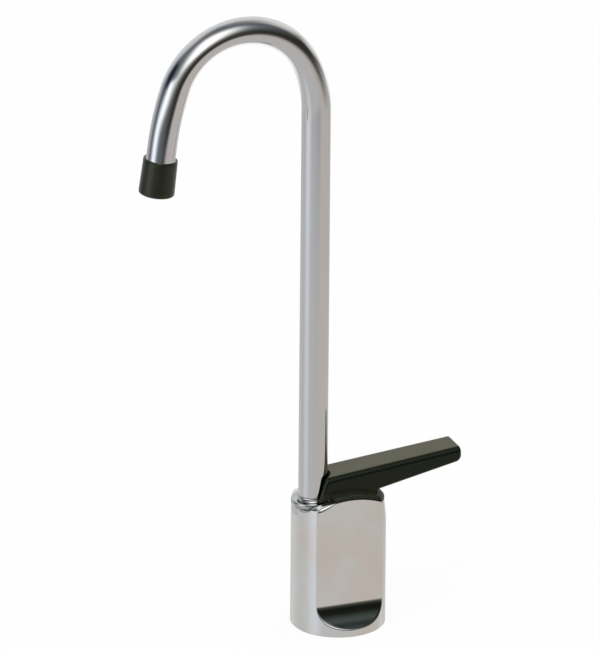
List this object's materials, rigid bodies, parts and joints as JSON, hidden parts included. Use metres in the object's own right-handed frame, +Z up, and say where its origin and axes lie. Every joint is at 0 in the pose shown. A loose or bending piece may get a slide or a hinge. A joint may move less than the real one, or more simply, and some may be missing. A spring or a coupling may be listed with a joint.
{
  "type": "glass filler faucet",
  "caption": "Deck-mounted self-closing glass filler faucet: flat-sided chromed body, gooseneck spout with a rubber tip, and a black push-down lever.",
  "frame": {"origin": "centre of the body's round underside, on the counter surface", "axes": "+Z up; the spout reaches towards -Y, the lever towards +Y, and the body's two flats face -X and +X"},
  "size_m": [0.0412, 0.1481, 0.2877],
  "materials": {
    "polished_chrome": "polished chrome plate on brass",
    "tube_chrome": "bright chrome plate on brass tube, faint draw lines",
    "black_lever": "glossy moulded black plastic",
    "black_rubber": "satin moulded rubber",
    "brass": "machined",
    "stainless": "drawn wire and sheet",
    "acetal": "moulded",
    "seal_rubber": "moulded seals"
  },
  "bodies": {
    "faucet": {"faucet_body": "polished_chrome", "gooseneck_tube": "tube_chrome", "spout_lock_ring": "polished_chrome", "spout_gasket": "seal_rubber", "nozzle_cap": "black_rubber", "return_spring": "stainless", "bonnet_nut": "brass", "bonnet_gasket": "seal_rubber", "stem_o_ring": "seal_rubber", "stem_bushing": "acetal", "valve_seat": "brass", "seat_gasket": "seal_rubber", "flow_washer": "seal_rubber", "inlet_strainer": "stainless", "strainer_ring": "stainless", "base_seal": "seal_rubber"},
    "lever": {"lever": "black_lever"},
    "stem": {"valve_stem": "brass", "lever_pin": "stainless", "seat_washer": "seal_rubber", "washer_screw": "brass", "spring_washer": "stainless"}
  },
  "joints": [
    {"name": "lever_rock", "type": "hinge", "parent": "faucet", "child": "lever", "pos_m": [0, 0.0198, 0.05645], "axis": [-1, 0, 0], "range_deg": [0, 10], "stiffness_Nm_per_rad": 0.74, "springref_deg": -12.03},
    {"name": "stem_lift", "type": "slide", "parent": "faucet", "child": "stem", "axis": [0, 0, 1], "range_m": [0, 0.0028], "deforming": ["return_spring"]}
  ],
  "couplings": [
    {"joint": "stem_lift", "follows": "lever_rock", "m_per_rad": 0.0152}
  ]
}
